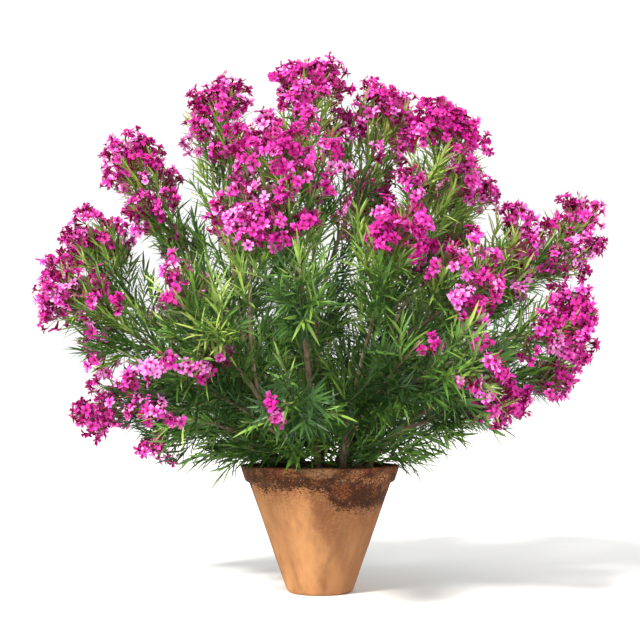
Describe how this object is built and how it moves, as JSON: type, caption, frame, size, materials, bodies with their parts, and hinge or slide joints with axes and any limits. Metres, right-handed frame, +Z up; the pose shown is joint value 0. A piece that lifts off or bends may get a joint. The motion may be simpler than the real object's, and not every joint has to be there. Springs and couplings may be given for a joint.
{
  "type": "potted oleander",
  "caption": "Flowering oleander shrub with arching canes, narrow whorled leaves and pink blossom, growing in a tapered clay pot that stands on its flat underside.",
  "frame": {"origin": "centre of the pot's flat underside, on the pot's axis", "axes": "+Z up along the pot's axis, +X to the right across the crown's widest reach, -Y towards the viewer at the front"},
  "size_m": [1.8536, 1.5659, 1.692],
  "materials": {
    "clay": "matte",
    "soil": "matte",
    "bark": "matte",
    "foliage": "satin"
  },
  "bodies": {
    "root": {"pot": "clay", "soil": "soil", "cane_left_low": "bark", "cane_left": "bark", "cane_left_high": "bark", "cane_top": "bark", "cane_right_high": "bark", "cane_right": "bark", "cane_right_low": "bark", "cane_front_left": "bark", "cane_front": "bark", "cane_front_right": "bark", "cane_back_left": "bark", "cane_back_right": "bark", "bough_left_upper": "bark", "bough_left_top": "bark", "bough_top_right": "bark", "bough_right_top": "bark", "bough_right_mid": "bark", "bough_front_left_high": "bark", "bough_front_mid": "bark", "bough_front_right_mid": "bark", "bough_back_left_high": "bark", "bough_back_mid": "bark", "bough_back_right_high": "bark", "mass_left_foot": "foliage", "mass_left_low": "foliage", "mass_left_mid": "foliage", "mass_left_upper": "foliage", "mass_left_inner": "foliage", "mass_left_spike": "foliage", "mass_left_top": "foliage", "mass_top": "foliage", "mass_top_right": "foliage", "mass_right_high": "foliage", "mass_right_top": "foliage", "mass_right_wide": "foliage", "mass_right_mid": "foliage", "mass_right_upper": "foliage", "mass_right_low": "foliage", "mass_right_foot": "foliage", "mass_front_left_mid": "foliage", "mass_front_left_low": "foliage", "mass_front_left_high": "foliage", "mass_front_high": "foliage", "mass_front_mid": "foliage", "mass_front_low": "foliage", "mass_front_right_high": "foliage", "mass_front_right_mid": "foliage", "mass_front_right_low": "foliage", "mass_front_inner": "foliage", "mass_back_left_mid": "foliage", "mass_back_left_low": "foliage", "mass_back_left_high": "foliage", "mass_back_mid": "foliage", "mass_back_right_mid": "foliage", "mass_back_right_low": "foliage", "mass_back_right_high": "foliage", "mass_back_low": "foliage", "mass_back_inner": "foliage"}
  },
  "joints": []
}
